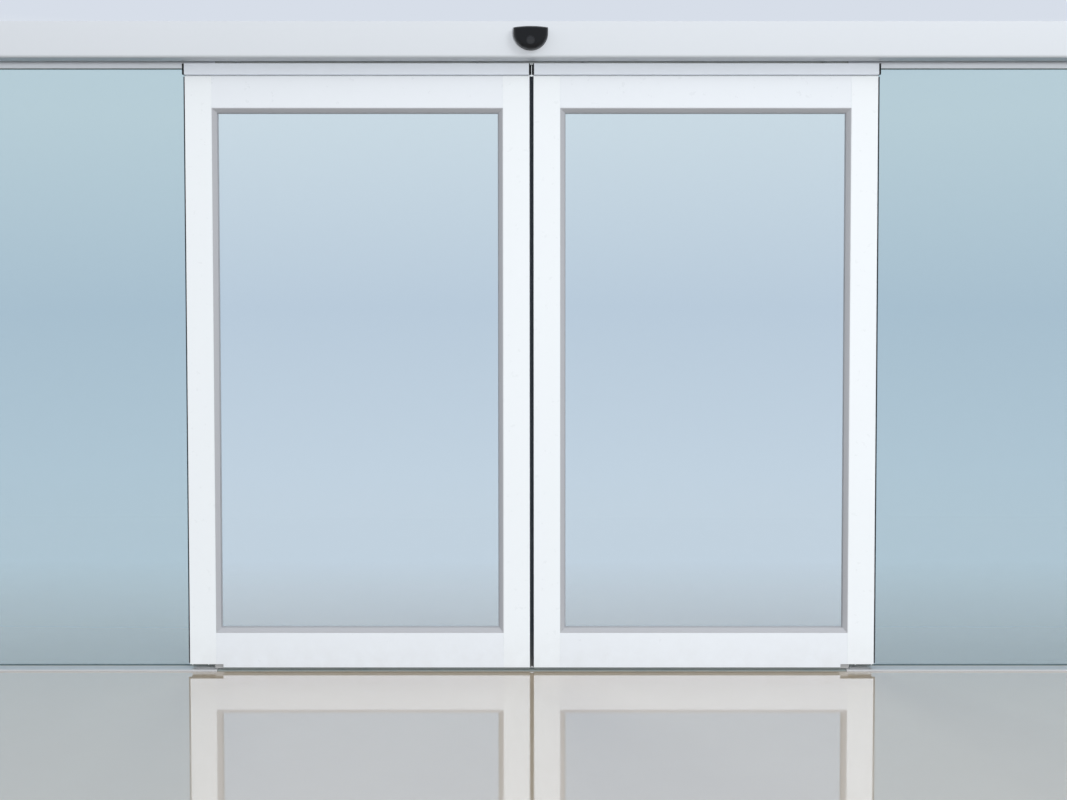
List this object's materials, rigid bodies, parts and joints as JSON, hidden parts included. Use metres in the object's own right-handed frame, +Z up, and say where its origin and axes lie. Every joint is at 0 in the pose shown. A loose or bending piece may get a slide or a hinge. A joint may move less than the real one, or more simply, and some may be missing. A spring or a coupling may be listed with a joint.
{
  "type": "automatic sliding glass entrance door",
  "caption": "Bi-parting automatic sliding entrance door: framed glass leaves hang on wheels from a header with motion sensor and belt drive, between tall glass sidelites.",
  "frame": {"origin": "on the floor, on the door's centreline, at half of the whole depth", "axes": "+X along the header to the right seen from the sensor side, +Y towards the wall face that the header is bolted to, +Z up"},
  "size_m": [5.2, 0.228, 2.397],
  "materials": {
    "mill_aluminium": "mill finish extrusion",
    "header_paint": "light grey satin powder coat",
    "leaf_paint": "white satin powder coat",
    "bead_aluminium": "light grey satin powder coat",
    "anodised_trim": "satin silver anodised",
    "machined_alloy": "machined",
    "cast_alloy": "die cast, matt",
    "zinc_steel": "zinc plated",
    "dark_steel": "black enamel on steel",
    "black_plastic": "fine matt texture",
    "dark_plastic": "moulded",
    "dark_window": "polished infrared window",
    "guide_nylon": "grey nylon",
    "rubber": "black sealing rubber",
    "belt_rubber": "black belt rubber",
    "brush_hair": "dark bristle",
    "clear_glass": "clear toughened glass",
    "tinted_glass": "pale blue green toughened glass"
  },
  "bodies": {
    "frame": {"header_beam": "mill_aluminium", "running_rail": "mill_aluminium", "header_end_caps": "header_paint", "motor_gearbox": "cast_alloy", "drive_motor": "dark_steel", "idler_bracket": "zinc_steel", "toothed_belt": "belt_rubber", "control_unit": "dark_plastic", "power_supply": "cast_alloy", "end_stops": "rubber", "sidelite_glass_left": "tinted_glass", "sidelite_glass_right": "tinted_glass", "top_channels": "anodised_trim", "wall_jamb_left": "anodised_trim", "wall_jamb_right": "anodised_trim", "floor_sill_left": "anodised_trim", "floor_sill_right": "anodised_trim", "sidelite_edge_trims": "anodised_trim", "sidelite_gaskets": "rubber", "floor_guides": "zinc_steel", "guide_blocks": "guide_nylon"},
    "cover": {"header_cover": "header_paint", "sensor_housing": "black_plastic", "sensor_window": "dark_window"},
    "leaf_left": {"leaf_glass_left": "clear_glass", "leading_stile_left": "leaf_paint", "trailing_stile_left": "leaf_paint", "top_rail_left": "leaf_paint", "bottom_rail_left": "leaf_paint", "glazing_beads_left": "bead_aluminium", "glazing_gaskets_left": "rubber", "meeting_seal_left": "rubber", "trailing_seal_left": "rubber", "brush_strips_left": "brush_hair", "carrier_profile_left": "anodised_trim", "carrier_caps_left": "black_plastic", "hangers_left": "zinc_steel", "hanger_bolts_left": "zinc_steel", "belt_clamp_left": "zinc_steel"},
    "leaf_right": {"leaf_glass_right": "clear_glass", "leading_stile_right": "leaf_paint", "trailing_stile_right": "leaf_paint", "top_rail_right": "leaf_paint", "bottom_rail_right": "leaf_paint", "glazing_beads_right": "bead_aluminium", "glazing_gaskets_right": "rubber", "meeting_seal_right": "rubber", "trailing_seal_right": "rubber", "brush_strips_right": "brush_hair", "carrier_profile_right": "anodised_trim", "carrier_caps_right": "black_plastic", "hangers_right": "zinc_steel", "hanger_bolts_right": "zinc_steel", "belt_clamp_right": "zinc_steel"},
    "inner_wheel_left": {"wheel_inner_left": "guide_nylon"},
    "outer_wheel_left": {"wheel_outer_left": "guide_nylon"},
    "inner_wheel_right": {"wheel_inner_right": "guide_nylon"},
    "outer_wheel_right": {"wheel_outer_right": "guide_nylon"},
    "driver": {"drive_pulley": "machined_alloy"},
    "idler": {"idler_pulley": "machined_alloy"}
  },
  "joints": [
    {"name": "leaf_left_slide", "type": "slide", "parent": "frame", "child": "leaf_left", "axis": [-1, 0, 0], "range_m": [0, 1.13]},
    {"name": "leaf_right_slide", "type": "slide", "parent": "frame", "child": "leaf_right", "axis": [1, 0, 0], "range_m": [0, 1.13]},
    {"name": "cover_hinge", "type": "hinge", "parent": "frame", "child": "cover", "pos_m": [0, -0.054, 2.391], "axis": [-1, 0, 0], "range_deg": [0, 90]},
    {"name": "inner_wheel_left_spin", "type": "hinge", "parent": "leaf_left", "child": "inner_wheel_left", "pos_m": [-0.1975, 0.053, 2.3318], "axis": [0, 1, 0], "range_deg": [-2950, 0]},
    {"name": "outer_wheel_left_spin", "type": "hinge", "parent": "leaf_left", "child": "outer_wheel_left", "pos_m": [-1.0875, 0.053, 2.3318], "axis": [0, 1, 0], "range_deg": [-2950, 0]},
    {"name": "inner_wheel_right_spin", "type": "hinge", "parent": "leaf_right", "child": "inner_wheel_right", "pos_m": [0.1975, 0.053, 2.3318], "axis": [0, 1, 0], "range_deg": [0, 2950]},
    {"name": "outer_wheel_right_spin", "type": "hinge", "parent": "leaf_right", "child": "outer_wheel_right", "pos_m": [1.0875, 0.053, 2.3318], "axis": [0, 1, 0], "range_deg": [0, 2950]},
    {"name": "driver_spin", "type": "hinge", "parent": "frame", "child": "driver", "pos_m": [1.45, 0.024, 2.345], "axis": [0, 1, 0], "range_deg": [0, 2960]},
    {"name": "idler_spin", "type": "hinge", "parent": "frame", "child": "idler", "pos_m": [-1.45, 0.024, 2.345], "axis": [0, 1, 0], "range_deg": [0, 2960]}
  ],
  "couplings": [
    {"joint": "leaf_right_slide", "follows": "leaf_left_slide", "ratio": 1},
    {"joint": "inner_wheel_left_spin", "follows": "leaf_left_slide", "rad_per_m": -45.455},
    {"joint": "outer_wheel_left_spin", "follows": "leaf_left_slide", "rad_per_m": -45.455},
    {"joint": "inner_wheel_right_spin", "follows": "leaf_left_slide", "rad_per_m": 45.455},
    {"joint": "outer_wheel_right_spin", "follows": "leaf_left_slide", "rad_per_m": 45.455},
    {"joint": "driver_spin", "follows": "leaf_left_slide", "rad_per_m": 45.525},
    {"joint": "idler_spin", "follows": "leaf_left_slide", "rad_per_m": 45.525}
  ]
}
